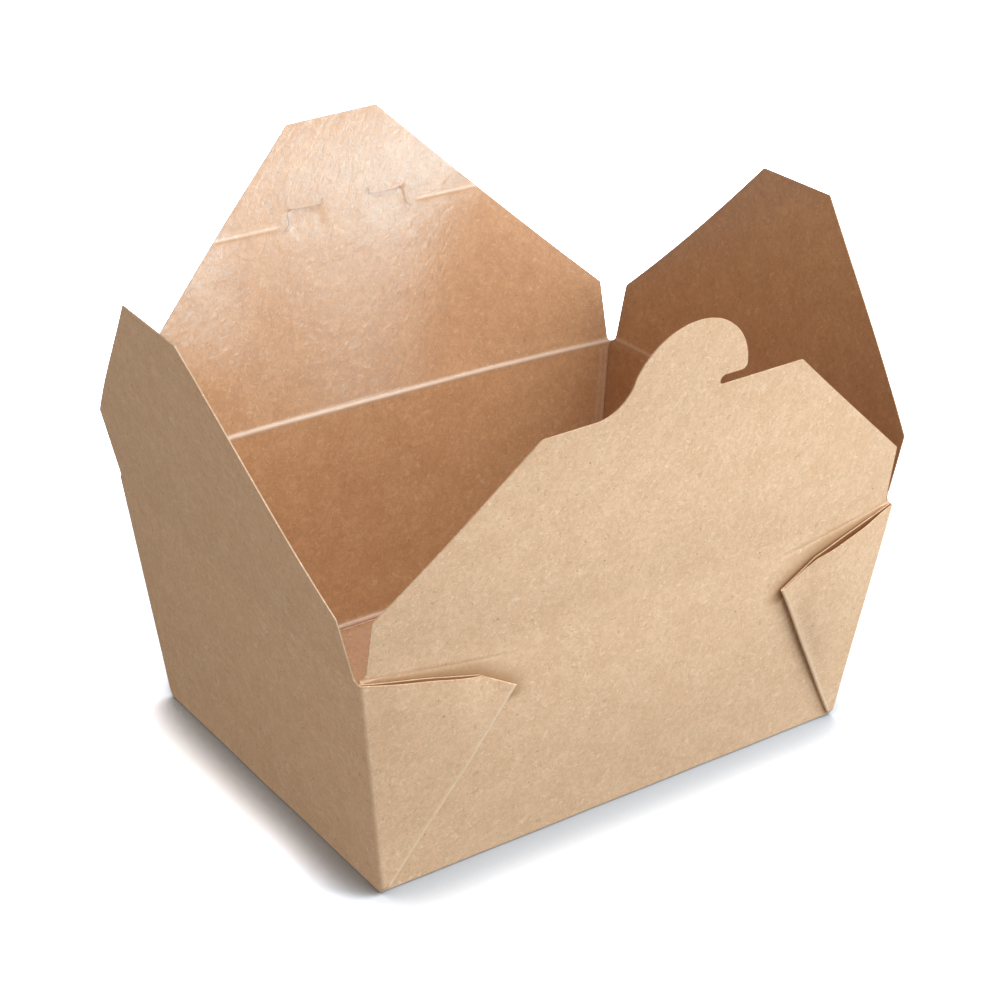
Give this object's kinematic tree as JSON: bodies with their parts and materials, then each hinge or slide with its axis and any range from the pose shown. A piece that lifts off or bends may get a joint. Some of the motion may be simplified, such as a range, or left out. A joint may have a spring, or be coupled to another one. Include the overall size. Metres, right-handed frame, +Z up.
{
  "type": "takeaway box",
  "caption": "Folded brown paperboard food box with flared walls, web corners folded flat outside, and open six-sided top flaps, one with a hook tongue and one with its lock slot.",
  "frame": {"origin": "middle of the flat base, on the surface that the box stands on", "axes": "+Z up out of the open top, X along the long side, -Y towards the long side whose flap has the hook tongue"},
  "size_m": [0.2624, 0.218, 0.197],
  "materials": {
    "board": "matte kraft board, unbleached, with a light coating inside"
  },
  "bodies": {
    "tray": {"tray": "board"},
    "front_flap": {"front_flap": "board"},
    "back_flap": {"back_flap": "board"},
    "left_flap": {"left_flap": "board"},
    "right_flap": {"right_flap": "board"}
  },
  "joints": [
    {"name": "front_crease", "type": "hinge", "parent": "tray", "child": "front_flap", "pos_m": [0, -0.08405, 0.0918], "axis": [-1, 0, 0], "range_deg": [-65.2, 98.8]},
    {"name": "back_crease", "type": "hinge", "parent": "tray", "child": "back_flap", "pos_m": [0, 0.08396, 0.091], "axis": [1, 0, 0], "range_deg": [-58, 106.5]},
    {"name": "left_crease", "type": "hinge", "parent": "tray", "child": "left_flap", "pos_m": [-0.1096, 0, 0.0902], "axis": [0, 1, 0], "range_deg": [-61, 107]},
    {"name": "right_crease", "type": "hinge", "parent": "tray", "child": "right_flap", "pos_m": [0.1096, 0, 0.0902], "axis": [0, -1, 0], "range_deg": [-62.5, 105.5]}
  ]
}
